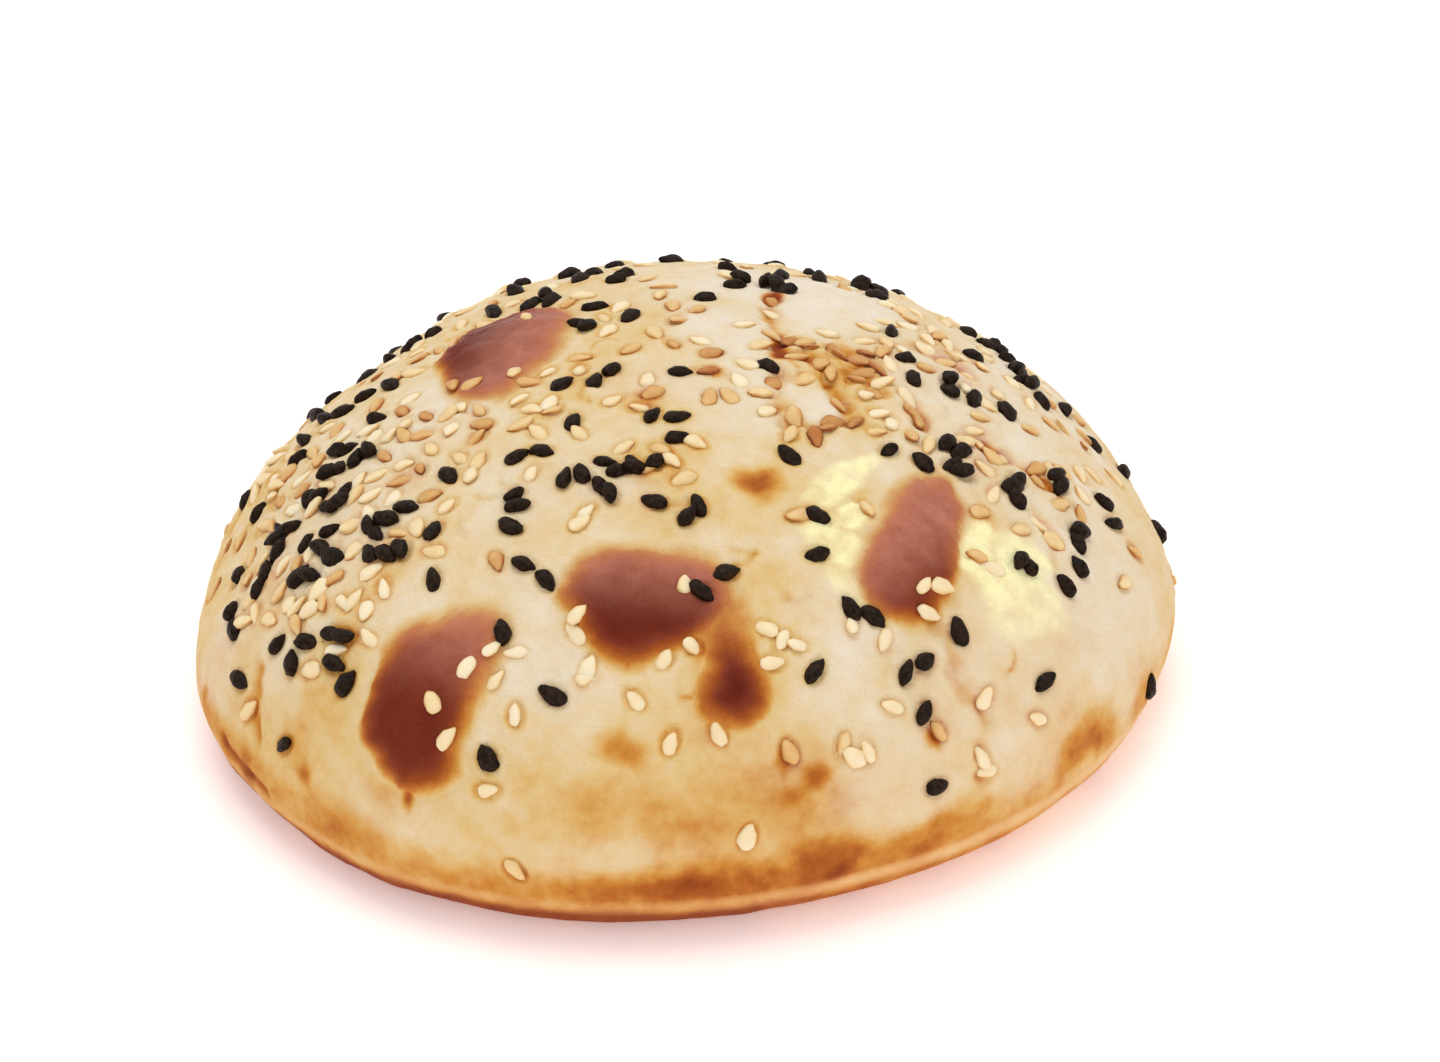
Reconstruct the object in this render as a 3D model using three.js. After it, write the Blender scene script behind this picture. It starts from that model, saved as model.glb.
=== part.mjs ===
// A round seeded feteer: a low, domed bread of puffed dough with scorched blisters, strewn
// with black seeds and sesame seeds. Millimetres, +Z up, the flat base on z = 0.
//
// A place on the crust is a bearing and a fall, both in degrees. The bearing turns round the
// bread from +X towards +Y. The fall is 0 at the crown and 90 at the widest line.
import * as THREE from 'three';

// ---- Driving dimensions ----------------------------------------------------------------

const loafRadius = 56.5; // mean radius at the widest line
const loafHeight = 39.5; // base to crown, seeds left out
const widestHeight = 7; // height of the widest line above the base
const footInset = 6.5; // how far the flat base stays inside the widest line

// Hand shaping leaves the outline a little oval and a little three-sided.
const outlineWaves = [
  { lobes: 2, height: 1.9, bearing: 42 },
  { lobes: 3, height: 1.35, bearing: -19 },
];

const blackSeed = { length: 3.2, width: 2.3, thickness: 1.1, taper: 0.3 };
const sesameSeed = { length: 3.4, width: 2.1, thickness: 0.9, taper: 0.4 };
const seedGap = 0.15; // between a seed's underside and the crust

const crustSides = 108; // facets round the bread
const domeRings = 25; // rings from the widest line to the crown
const underRings = 5; // rings from the base edge to the widest line

// ---- Shapes on the crust ---------------------------------------------------------------

// Swellings, in millimetres: across is measured round the bread, along is up the slope, and
// turn tilts the pair anticlockwise as seen from outside. A plateau is flat-topped and steep
// at its edge, as a blister is. A swelling without one is a soft mound, and a negative height
// is a hollow.
const swellings = [
  { name: 'left blister', bearing: 237, fall: 61, across: 14, along: 19, turn: -10, height: 1.3, plateau: 0.5 },
  { name: 'front blister', bearing: 260, fall: 40, across: 15, along: 13, turn: 0, height: 1.4, plateau: 0.5 },
  { name: 'drop blister', bearing: 276, fall: 54, across: 9, along: 13, turn: 12, height: 1.1, plateau: 0.4 },
  { name: 'right blister', bearing: 315, fall: 41, across: 15, along: 19, turn: -40, height: 1.5, plateau: 0.5 },
  { name: 'far blister', bearing: 152, fall: 25, across: 13, along: 19, turn: 33, height: 1.2, plateau: 0.5 },
  { name: 'smooth bubble', bearing: 55, fall: 30, across: 22, along: 20, turn: 0, height: 1.2, plateau: 0 },
  { name: 'toasted ridge', bearing: 8, fall: 19, across: 12, along: 12, turn: 30, height: 0.8, plateau: 0 },
  { name: 'front swell', bearing: 262, fall: 70, across: 40, along: 24, turn: 0, height: 0.7, plateau: 0 },
  { name: 'right swell', bearing: 325, fall: 62, across: 26, along: 26, turn: 0, height: 0.8, plateau: 0 },
  { name: 'left hollow', bearing: 213, fall: 76, across: 8, along: 20, turn: 0, height: -0.7, plateau: 0 },
  { name: 'right hollow', bearing: 300, fall: 55, across: 16, along: 12, turn: 0, height: -0.5, plateau: 0 },
];

// Each seed is [bearing, fall, turn]. The turn lifts its pointed end anticlockwise from the
// line that runs round the bread, as seen from outside.
const blackSeedPlaces = [
  [270, 1, 0], [188, 14, 130], [252, 10, 80], [366, 10, 50], [309, 21, 95], [223, 21, 25],
  [229, 28, 80], [211, 31, 0], [240, 22, 140], [254, 19, 135], [263, 25, 155], [275, 26, 105],
  [241, 37, 0], [228, 43, 135], [279, 37, 15], [298, 37, 170], [299, 46, 100], [313, 55, 70],
  [290, 54, 40], [303, 58, 45], [303, 65, 50], [302, 78, 0], [243, 47, 130], [253, 55, 160],
  [247, 66, 135], [226, 62, 90], [220, 57, 25], [213, 64, 85], [210, 74, 5], [221, 77, 50],
  [204, 69, 160], [215, 45, 175], [334, 28, 160], [341, 45, 65], [355, 59, 95], [342, 56, 45],
  [321, 69, 10], [366, 33, 25],
];
const sesameSeedPlaces = [
  [254, 43, 60], [257, 52, 30], [245, 54, 70], [242, 64, 70], [248, 71, 20], [268, 49, 60],
  [264, 55, 135], [269, 62, 75], [275, 61, 105], [284, 46, 145], [311, 47, 20], [318, 74, 140],
  [278, 79, 70], [294, 68, 95], [271, 38, 80], [219, 51, 90], [212, 57, 90], [309, 79, 170],
  [247, 29, 65], [200, 35, 70], [186, 34, 165],
];

// ---- Materials -------------------------------------------------------------------------

const crust = new THREE.MeshStandardMaterial({ color: '#e3bb7e', roughness: 0.75, metalness: 0 });
const blackHull = new THREE.MeshStandardMaterial({ color: '#1c120c', roughness: 0.6, metalness: 0 });
const creamHull = new THREE.MeshStandardMaterial({ color: '#f3dcb0', roughness: 0.55, metalness: 0 });

// ---- The plain dome --------------------------------------------------------------------

const radians = THREE.MathUtils.degToRad;

function outlineRadius(bearing) {
  let radius = loafRadius;
  for (const wave of outlineWaves) {
    radius += wave.height * Math.cos(radians(wave.lobes * (bearing - wave.bearing)));
  }
  return radius;
}

// A quarter of an ellipse from the widest line (fall 90) up to the crown (fall 0).
function domePoint(bearing, fall) {
  const reach = outlineRadius(bearing) * Math.sin(radians(fall));
  return new THREE.Vector3(
    reach * Math.cos(radians(bearing)),
    reach * Math.sin(radians(bearing)),
    widestHeight + (loafHeight - widestHeight) * Math.cos(radians(fall)),
  );
}

// The directions round the bread, up the slope and straight out of the crust.
function domeAxes(bearing, fall) {
  const step = 0.5;
  const higher = domePoint(bearing, fall - step);
  const lower = domePoint(bearing, fall + step);
  const up = higher.sub(lower).normalize();
  const round = new THREE.Vector3(-Math.sin(radians(bearing)), Math.cos(radians(bearing)), 0);
  round.addScaledVector(up, -round.dot(up)).normalize();
  const out = new THREE.Vector3().crossVectors(round, up);
  return { round, up, out };
}

// ---- Swellings -------------------------------------------------------------------------

const placedSwellings = swellings.map((swelling) => ({
  ...swelling,
  centre: domePoint(swelling.bearing, swelling.fall),
  axes: domeAxes(swelling.bearing, swelling.fall),
}));

// How far one swelling lifts the crust at a point of the plain dome.
function swellingLift(swelling, point) {
  const offset = point.clone().sub(swelling.centre);
  const round = offset.dot(swelling.axes.round);
  const up = offset.dot(swelling.axes.up);
  const depth = offset.dot(swelling.axes.out);
  const turn = radians(swelling.turn);
  const across = (round * Math.cos(turn) + up * Math.sin(turn)) / (swelling.across / 2);
  const along = (up * Math.cos(turn) - round * Math.sin(turn)) / (swelling.along / 2);
  const beyond = depth / (swelling.across + swelling.along);
  const distance = Math.hypot(across, along, beyond);
  return swelling.height * (1 - THREE.MathUtils.smoothstep(distance, swelling.plateau, 1));
}

function crustPoint(bearing, fall) {
  const point = domePoint(bearing, fall);
  let lift = 0;
  for (const swelling of placedSwellings) {
    lift += swellingLift(swelling, point);
  }
  return point.addScaledVector(domeAxes(bearing, fall).out, lift);
}

// ---- The bread -------------------------------------------------------------------------

// Below the widest line the crust tucks in along a quarter of an ellipse to the flat base.
function underPoint(bearing, tuck) {
  const reach = outlineRadius(bearing) - footInset * (1 - Math.cos(radians(tuck)));
  return new THREE.Vector3(
    reach * Math.cos(radians(bearing)),
    reach * Math.sin(radians(bearing)),
    widestHeight * (1 - Math.sin(radians(tuck))),
  );
}

// Rows of the bread from the middle of the base to the crown: each gives a point for a bearing.
function breadRows() {
  const rows = [() => new THREE.Vector3()];
  for (let ring = 0; ring < underRings; ring += 1) {
    const tuck = 90 * (1 - ring / underRings);
    rows.push((bearing) => underPoint(bearing, tuck));
  }
  for (let ring = 0; ring < domeRings; ring += 1) {
    const fall = 90 * (1 - ring / domeRings);
    rows.push((bearing) => crustPoint(bearing, fall));
  }
  const crown = crustPoint(0, 0);
  rows.push(() => crown);
  return rows;
}

// A turned blank with one row of vertices for each row of the bread, pulled to its shape.
function breadGeometry() {
  const rows = breadRows();
  const blankProfile = rows.map((row) => {
    const point = row(0);
    return new THREE.Vector2(Math.hypot(point.x, point.y), point.z);
  });
  const geometry = new THREE.LatheGeometry(blankProfile, crustSides);
  const positions = geometry.attributes.position;
  for (let index = 0; index < positions.count; index += 1) {
    const side = Math.floor(index / rows.length) % crustSides;
    const point = rows[index % rows.length]((360 * side) / crustSides);
    positions.setXYZ(index, point.x, point.y, point.z);
  }
  return geometry;
}

const bread = new THREE.Mesh(breadGeometry(), crust);
bread.name = 'bread';
bread.updateMatrixWorld();

// ---- Seeds -----------------------------------------------------------------------------

// A flattened drop: its long axis is X, and it narrows towards +X.
function seedGeometry(seed) {
  const geometry = new THREE.SphereGeometry(1, 8, 4);
  geometry.rotateZ(-Math.PI / 2);
  const positions = geometry.attributes.position;
  for (let index = 0; index < positions.count; index += 1) {
    const along = positions.getX(index);
    const narrowing = 1 - seed.taper * Math.max(0, along);
    positions.setXYZ(
      index,
      (along * seed.length) / 2,
      (positions.getY(index) * narrowing * seed.width) / 2,
      (positions.getZ(index) * seed.thickness) / 2,
    );
  }
  return geometry;
}

// The smallest drop from the seed to the crust below it, along the seed's own upright.
function clearanceUnder(mesh, out) {
  const probeHeight = 10;
  const inward = out.clone().negate();
  const positions = mesh.geometry.attributes.position;
  const vertex = new THREE.Vector3();
  let clearance = Infinity;
  mesh.updateMatrixWorld();
  for (let index = 0; index < positions.count; index += 1) {
    vertex.fromBufferAttribute(positions, index).applyMatrix4(mesh.matrixWorld);
    const start = vertex.addScaledVector(out, probeHeight);
    const [hit] = new THREE.Raycaster(start, inward).intersectObject(bread);
    clearance = Math.min(clearance, hit.distance - probeHeight);
  }
  return clearance;
}

// Lays a seed flat on the crust at its place, clear of it by the seed gap.
function laySeed(name, seed, hull, [bearing, fall, turn]) {
  const mesh = new THREE.Mesh(seedGeometry(seed), hull);
  mesh.name = name;
  const { round, up, out } = domeAxes(bearing, Math.max(fall, 0.5));
  mesh.quaternion.setFromRotationMatrix(new THREE.Matrix4().makeBasis(round, up, out));
  mesh.rotateZ(radians(turn));
  mesh.position.copy(crustPoint(bearing, fall));
  mesh.position.addScaledVector(out, seedGap - clearanceUnder(mesh, out));
  return mesh;
}

function laySeeds(kind, seed, hull, places) {
  return places.map((place, index) => {
    const number = String(index + 1).padStart(2, '0');
    return laySeed(`${kind}_${number}`, seed, hull, place);
  });
}

// ---- The feteer ------------------------------------------------------------------------

const feteer = new THREE.Group();
feteer.name = 'feteer';
feteer.add(bread);
feteer.add(...laySeeds('black_seed', blackSeed, blackHull, blackSeedPlaces));
feteer.add(...laySeeds('sesame_seed', sesameSeed, creamHull, sesameSeedPlaces));

// The origin is the middle of the base, under the middle of the whole bread.
const middle = new THREE.Box3().setFromObject(feteer, true).getCenter(new THREE.Vector3());
feteer.position.set(-middle.x, -middle.y, 0);

export default feteer;
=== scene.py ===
# %% [markdown]
# # A round seeded feteer
#
# This script dresses a small domed bread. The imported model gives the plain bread, its size and
# the places of 59 seeds. Here the crust gets its fine surface, its scorched blisters and its
# colours, and the seeds get their real form. Everything is in metres, but the sizes below are
# written in millimetres, because that is how a baker or a ruler gives them.

import random

import bmesh
import bpy
import numpy as np
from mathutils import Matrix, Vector, noise
from mathutils.bvhtree import BVHTree


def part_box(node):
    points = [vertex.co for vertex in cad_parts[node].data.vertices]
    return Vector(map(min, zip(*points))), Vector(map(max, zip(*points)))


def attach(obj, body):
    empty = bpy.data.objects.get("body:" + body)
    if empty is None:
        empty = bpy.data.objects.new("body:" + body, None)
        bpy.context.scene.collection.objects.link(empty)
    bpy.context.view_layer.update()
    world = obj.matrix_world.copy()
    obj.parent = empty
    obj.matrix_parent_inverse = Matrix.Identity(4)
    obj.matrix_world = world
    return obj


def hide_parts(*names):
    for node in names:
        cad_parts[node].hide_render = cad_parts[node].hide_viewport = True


MM = 0.001
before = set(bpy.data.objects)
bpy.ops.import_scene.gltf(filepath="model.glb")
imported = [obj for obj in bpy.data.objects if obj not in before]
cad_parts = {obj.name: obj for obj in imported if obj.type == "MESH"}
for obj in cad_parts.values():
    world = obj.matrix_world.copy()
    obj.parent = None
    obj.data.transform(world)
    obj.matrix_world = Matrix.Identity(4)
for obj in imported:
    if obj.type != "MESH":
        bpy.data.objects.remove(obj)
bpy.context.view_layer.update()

# %% [markdown]
# ## Where things are on a bread
#
# A ruler is no use on a dome, so each place on the crust is a bearing and a fall, in degrees.
# The bearing turns round the bread from +X towards +Y. The fall is 0 at the crown and 90 at
# the widest line, and it runs on to 180 at the edge of the flat base. The dome's axis, its
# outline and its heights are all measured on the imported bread, so this script follows it.

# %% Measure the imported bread
bread_low, bread_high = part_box("bread")
bread_points = np.array([v.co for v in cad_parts["bread"].data.vertices]) / MM
axis_x, axis_y = bread_points[np.argmax(bread_points[:, 2]), :2]
from_axis = np.hypot(bread_points[:, 0] - axis_x, bread_points[:, 1] - axis_y)
widest_height = bread_points[np.argmax(from_axis), 2]
loaf_height = (bread_high.z - bread_low.z) / MM

SAME_HEIGHT = 0.05  # mm
on_ring = np.abs(bread_points[:, 2] - widest_height) < SAME_HEIGHT
ring_bearing = np.degrees(
    np.arctan2(bread_points[on_ring, 1] - axis_y, bread_points[on_ring, 0] - axis_x)
)
ring_order = np.argsort(ring_bearing)
ring_bearing = ring_bearing[ring_order]
ring_radius = from_axis[on_ring][ring_order]

FOOT_POINTS = 60  # of the points on the table, the outermost ones are the edge of the base
on_table = bread_points[:, 2] < SAME_HEIGHT / 5
foot_inset = ring_radius.mean() - np.sort(from_axis[on_table])[-FOOT_POINTS:].mean()
print("axis, mm:", round(axis_x, 2), round(axis_y, 2), "widest at", round(widest_height, 2))
print("outline, mm:", ring_radius.min().round(1), "to", ring_radius.max().round(1))

# %% [markdown]
# ## From a bearing and a fall to a point
#
# Four short functions go between the two ways of saying where something is. The widest line
# gives a radius at each bearing. From there up the dome is a quarter of an oval, and below it
# the side curls under by the same quarter turn to the edge of the base.

# %% Places and points


def outline(bearing):
    """Radius of the widest line at a bearing."""
    turned = (np.asarray(bearing) + 180) % 360 - 180
    return np.interp(turned, ring_bearing, ring_radius, period=360)


def dome(bearing, fall):
    """The plain bread's surface point, in millimetres, for bearings and falls in degrees."""
    bearing = np.asarray(bearing, float)
    fall = np.asarray(fall, float)
    over = np.radians(np.minimum(fall, 90))
    tuck = np.radians(np.maximum(fall, 90) - 90)
    reach = outline(bearing) * np.sin(over) - foot_inset * (1 - np.cos(tuck))
    above = (loaf_height - widest_height) * np.cos(over) + widest_height
    height = np.where(fall < 90, above, widest_height * (1 - np.sin(tuck)))
    turn = np.radians(bearing)
    return np.stack(
        [axis_x + reach * np.cos(turn), axis_y + reach * np.sin(turn), height], axis=-1
    )


def axes_at(bearing, fall):
    """Unit vectors round the bread, up the slope and out of the crust at one place."""
    up = dome(bearing, fall - 0.5) - dome(bearing, fall + 0.5)
    up /= np.linalg.norm(up)
    turn = np.radians(bearing)
    around = np.array([-np.sin(turn), np.cos(turn), 0.0])
    around -= up * around.dot(up)
    around /= np.linalg.norm(around)
    return around, up, np.cross(around, up)


def place_of(point):
    """Bearing and fall of a point on or near the upper crust."""
    bearing = np.degrees(np.arctan2(point[1] - axis_y, point[0] - axis_x))
    reach = np.hypot(point[0] - axis_x, point[1] - axis_y) / outline(bearing)
    above = (point[2] - widest_height) / (loaf_height - widest_height)
    return bearing, np.degrees(np.arctan2(reach, above))


print("front shoulder, mm:", dome(270, 45).round(1))

# %% [markdown]
# ## A smooth blank
#
# The imported bread has facets about 3 mm wide. Its facets are joined back to four-sided faces
# and rounded by a subdivision surface. Nothing is moved by hand: the blank is the imported shape,
# only smoother. It is a guide for the fine crust below and isn't shown.

# %% Round the imported facets
blank_mesh = bpy.data.meshes.new("blank")
work = bmesh.new()
work.from_mesh(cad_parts["bread"].data)
bmesh.ops.remove_doubles(work, verts=work.verts, dist=0.02 * MM)
bmesh.ops.join_triangles(
    work, faces=work.faces, angle_face_threshold=0.6, angle_shape_threshold=3.1
)
work.to_mesh(blank_mesh)
work.free()
blank = bpy.data.objects.new("blank", blank_mesh)
bpy.context.scene.collection.objects.link(blank)
rounding = blank.modifiers.new("rounding", "SUBSURF")
rounding.levels = 2
rounding.subdivision_type = "CATMULL_CLARK"
blank_tree = BVHTree.FromObject(blank, bpy.context.evaluated_depsgraph_get())
bpy.data.objects.remove(blank)
print("blank:", len(blank_mesh.polygons), "faces before rounding")

# %% [markdown]
# ## One even sheet of faces
#
# A globe's grid crowds at its pole, and crowded faces shade badly. So the crust starts as a
# square sheet of square faces that is mapped to a disc and laid over the dome like a cloth: its
# middle is the crown and its border is the edge of the base. The faces stay about half a
# millimetre wide all over, fine enough for the rim of a blister or a seed's bed. They are
# skewed along the four lines to the square's corners, so the sheet is turned until those lines
# miss the blisters.

# %% Lay the sheet
SHEET_CELLS = 296
SHEET_TURN = -22

side = np.linspace(-1, 1, SHEET_CELLS + 1)
sheet_x, sheet_y = np.meshgrid(side, side)
wide = np.abs(sheet_x) >= np.abs(sheet_y)
reach_share = np.where(wide, sheet_x, sheet_y)
safe_reach = np.where(reach_share == 0, 1, reach_share)
eighth = (np.pi / 4) * np.where(wide, sheet_y, sheet_x) / safe_reach
sheet_turn = np.where(wide, eighth, np.pi / 2 - eighth)
disc_x = reach_share * np.cos(sheet_turn)
disc_y = reach_share * np.sin(sheet_turn)
sheet_bearing = np.degrees(np.arctan2(disc_y, disc_x)).ravel() + SHEET_TURN
sheet_share = np.clip(np.hypot(disc_x, disc_y), 0, 1).ravel()

slope_falls = np.linspace(0, 180, 361)
slope_steps = np.linalg.norm(np.diff(dome(270, slope_falls), axis=0), axis=1)
slope_length = np.concatenate([[0], np.cumsum(slope_steps)])
sheet_fall = np.interp(sheet_share * slope_length[-1], slope_length, slope_falls)
print("sheet:", len(sheet_fall), "points, crown to base edge", slope_length[-1].round(1), "mm")

# %% [markdown]
# ## Drop the sheet on the blank
#
# The dome's simple curve isn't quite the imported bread, which has broad swellings and a lean of
# its own. So a line runs out from the bread's middle through each point of the sheet, and the
# point moves to where that line meets the blank.

# %% Land the sheet


def land(tree, targets):
    """Where lines from the bread's middle through each target point meet a surface."""
    middle = Vector((axis_x, axis_y, widest_height)) * MM
    landed = np.empty_like(targets)
    for index, target in enumerate(targets):
        hit = tree.ray_cast(middle, Vector(target) * MM - middle)[0]
        landed[index] = np.array(hit) / MM if hit else target
    return landed


plain_dome = dome(sheet_bearing, sheet_fall)
crust_points = land(blank_tree, plain_dome)
moved = np.linalg.norm(crust_points - plain_dome, axis=1)
print("the sheet moved by at most", moved.max().round(2), "mm")

# %% [markdown]
# ## Directions and hills
#
# Every change to the crust pushes it straight out or in, so each point needs its own outward
# direction. Dough is never even, so most shapes and colours are broken up by soft random hills
# from Perlin noise. The size of the hills is given in millimetres, and the same point always
# gives the same value, so the bread comes out the same each time.

# %% Outward directions and random hills
sheet_up = dome(sheet_bearing, sheet_fall - 0.5) - dome(sheet_bearing, sheet_fall + 0.5)
sheet_up /= np.linalg.norm(sheet_up, axis=1)[:, None]
bearing_turn = np.radians(sheet_bearing)
sheet_round = np.stack([-np.sin(bearing_turn), np.cos(bearing_turn), 0 * bearing_turn], axis=1)
sheet_out = np.cross(sheet_round, sheet_up)
sheet_out /= np.linalg.norm(sheet_out, axis=1)[:, None]


def hills(points, size, octaves=2, shift=0.0):
    """Soft random hills from about -1 to 1, with their tops about size millimetres apart."""
    scaled = points / size + shift
    return np.array([noise.fractal(Vector(p), 1.0, 2.0, octaves) for p in scaled])


def ease(value, start, end):
    """0 before start and 1 after end, with a soft S between them."""
    share = np.clip((value - start) / (end - start), 0, 1)
    return share * share * (3 - 2 * share)


plain_points = crust_points.copy()
broad_hills = hills(plain_points, 17, 2)
middle_hills = hills(plain_points, 6, 3, shift=31)
small_hills = hills(plain_points, 2.2, 3, shift=57)
print("hills, lowest and highest:", broad_hills.min().round(2), broad_hills.max().round(2))

# %% [markdown]
# ## Spots
#
# A freckle, a dusting of flour and a brush of butter are all spots: an oval of a given size on
# the crust with an uneven edge. One function measures how far each point is from a spot's
# middle, as a share of its edge. The depth through the bread counts too, so that a spot
# doesn't show on the far side.

# %% Measure spots


def spot_share(points, bearing, fall, across, along, turn=0, uneven=0.12):
    """Distance from a spot's middle, 1 on its edge. Sizes in mm, turn anticlockwise."""
    around, up, out = axes_at(bearing, fall)
    offset = points - dome(bearing, fall)
    sideways, upward, depth = offset @ around, offset @ up, offset @ out
    lean = np.radians(turn)
    x = (sideways * np.cos(lean) + upward * np.sin(lean)) / (across / 2)
    y = (upward * np.cos(lean) - sideways * np.sin(lean)) / (along / 2)
    angle = np.arctan2(y, x)
    phase = np.radians(bearing * 7 + fall * 13)
    waves = np.sin(2 * angle + phase) + 0.7 * np.sin(3 * angle + 2 * phase)
    waves += 0.5 * np.sin(5 * angle + 3 * phase)
    flat = np.hypot(x, y) / (1 + uneven * waves / 2) + uneven * 0.8 * middle_hills
    return np.hypot(flat, depth / (across + along) * 2)


# %% [markdown]
# ## Slack places
#
# A puffed bread is never quite round. Where steam escaped, the shoulder sank a little, and
# beside it the side stands out. These are wide and soft, under two millimetres deep, and they
# are what keeps the outline from looking turned on a lathe.

# %% Sink and swell the sides
SLACK_PLACES = [
    # bearing, fall, across mm, along mm, height mm
    (222, 90, 44, 22, -1.0),
    (191, 63, 22, 18, -1.2),
    (199, 83, 20, 14, 0.8),
    (356, 81, 20, 16, 1.0),
    (10, 60, 18, 18, -0.9),
    (150, 55, 30, 20, -0.8),
    (60, 66, 30, 20, 0.8),
    (110, 80, 34, 18, -0.9),
]
UNEVENNESS = 0.3, 0.1, 0.035  # mm, of the broad, middle and small hills

lift = UNEVENNESS[0] * broad_hills + UNEVENNESS[1] * middle_hills + UNEVENNESS[2] * small_hills
for bearing, fall, across, along, height in SLACK_PLACES:
    lift += height * np.exp(-1.6 * spot_share(plain_points, bearing, fall, across, along) ** 2)
print("slack places:", len(SLACK_PLACES))

# %% [markdown]
# ## Scorched blisters
#
# Where steam lifts a thin skin off the dough, the skin has no moist crumb behind it to cool
# it, so it scorches first: dark red-brown in the middle and orange at its edge. The packed
# bread has the broad swelling. Here each blister gets its own ragged outline, given as a ring
# of bearings and falls, and every point's distance to that ring in millimetres. That distance
# sets the skin's steep edge, its bake and its puckers.

# %% Outline the blisters
BLISTERS = {
    "left": [
        (231, 49), (235, 46), (240, 45), (243, 46), (244, 50), (244, 54), (244, 58), (244, 63),
        (244, 68), (242, 72), (239, 74), (236, 73), (234, 71), (232, 69), (231, 66), (230, 62),
        (229, 57), (229, 53),
    ],
    "front": [
        (251, 35), (255, 32.5), (262, 32.5), (271, 33), (277, 35), (279, 39), (278, 43),
        (274, 46), (269, 48), (263, 49.5), (259, 48.5), (256, 46), (253, 43), (250, 41), (249, 38),
    ],
    "drop": [
        (275, 41), (280, 41), (281, 46), (282.5, 51), (283, 55), (282, 58.5), (279, 60.5),
        (276, 60), (273.5, 58), (272.5, 54), (273, 50), (273, 46),
    ],
    "right": [
        (335, 35.5), (331, 39.5), (326, 42), (321, 45), (317, 48), (313, 50), (308, 51),
        (304, 49), (302, 46), (303, 42), (307, 39), (312, 36.5), (317, 35), (323, 33.5),
        (330, 33),
    ],
    "far": [
        (157, 34), (148, 34), (141, 32), (134, 30), (130, 27), (130, 24), (133, 21), (140, 19),
        (150, 18), (161, 17), (172, 18), (181, 19), (185, 22), (183, 26), (176, 29), (168, 32),
        (162, 34),
    ],
}  # fmt: skip
print("blisters:", list(BLISTERS))

# %% [markdown]
# ## How deep inside an outline
#
# Each ring is laid flat, rounded by a curve through its points, and compared with the points
# of the sheet that lie near. A point is inside when a line from it crosses the ring an odd
# number of times, and its depth is the distance to the ring's nearest point.

# %% Measure the depth inside a blister


def round_off(ring, steps=6):
    """A closed ring of flat points, smoothed by a curve that passes through each of them."""
    before, after = np.roll(ring, 1, axis=0), np.roll(ring, -1, axis=0)
    after_next = np.roll(ring, -2, axis=0)
    smooth = []
    for t in np.linspace(0, 1, steps, endpoint=False):
        linear_part = (after - before) * t
        square_part = (2 * before - 5 * ring + 4 * after - after_next) * t**2
        cube_part = (-before + 3 * ring - 3 * after + after_next) * t**3
        smooth.append(ring + (linear_part + square_part + cube_part) / 2)
    return np.stack(smooth, axis=1).reshape(-1, 2)


def depth_inside(places, reach=14):
    """How deep each point lies inside a ring of places, in mm, and how high up in it."""
    corners = dome([p[0] for p in places], [p[1] for p in places])
    around, up, out = axes_at(*place_of(corners.mean(axis=0)))
    middle = corners.mean(axis=0)
    ring = round_off(np.stack([(corners - middle) @ around, (corners - middle) @ up], axis=1))
    offset = plain_points - middle
    flat = np.stack([offset @ around, offset @ up], axis=1)
    near = np.flatnonzero((np.hypot(*flat.T) < reach) & (np.abs(offset @ out) < reach / 2))
    depth = np.full(len(plain_points), -50.0)
    x, y = flat[near].T
    inside = np.zeros(len(near), bool)
    closest = np.full(len(near), np.inf)
    for start, end in zip(ring, np.roll(ring, -1, axis=0)):
        closest = np.minimum(closest, np.hypot(x - start[0], y - start[1]))
        crosses = (start[1] > y) != (end[1] > y)
        rise = end[1] - start[1]
        crossing = start[0] + (y - start[1]) * (end[0] - start[0]) / (rise if rise else 1)
        inside ^= crosses & (x < crossing)
    depth[near] = np.where(inside, closest, -closest)
    return depth, flat[:, 1] / np.abs(ring[:, 1]).max()


# %% [markdown]
# ## Lift and scorch the skin
#
# Bake is one number from 0, raw white, to 1, scorched. The crust's material turns it into
# colour, so all the browning on the bread agrees. The top of each blister also gets a mauve
# painted sheen, a painted reflection of the light overhead. It is kept as a number of its own.

# %% Raise and scorch the blisters
BLISTER_TRAITS = {
    # edge: width of the orange edge, mm; foot and top: bake at its foot and top; painted_sheen:
    # mauve painted reflection at its top; painted_sheen_from: how high up the painted sheen begins,
    # -1 foot to 1 top; height: mm
    "left": dict(edge=1.9, foot=0.88, top=0.8, painted_sheen=0.95, painted_sheen_from=-0.1, height=0.5),
    "front": dict(edge=1.9, foot=0.94, top=0.78, painted_sheen=0.85, painted_sheen_from=-0.45, height=0.45),
    "drop": dict(edge=2.9, foot=1.0, top=0.62, painted_sheen=0.5, painted_sheen_from=0.2, height=0.25),
    "right": dict(edge=1.3, foot=0.84, top=0.74, painted_sheen=1.0, painted_sheen_from=-0.9, height=0.55),
    "far": dict(edge=1.5, foot=0.92, top=0.8, painted_sheen=0.95, painted_sheen_from=-0.7, height=0.5),
}
ORANGE_BAKE = 0.44

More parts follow.
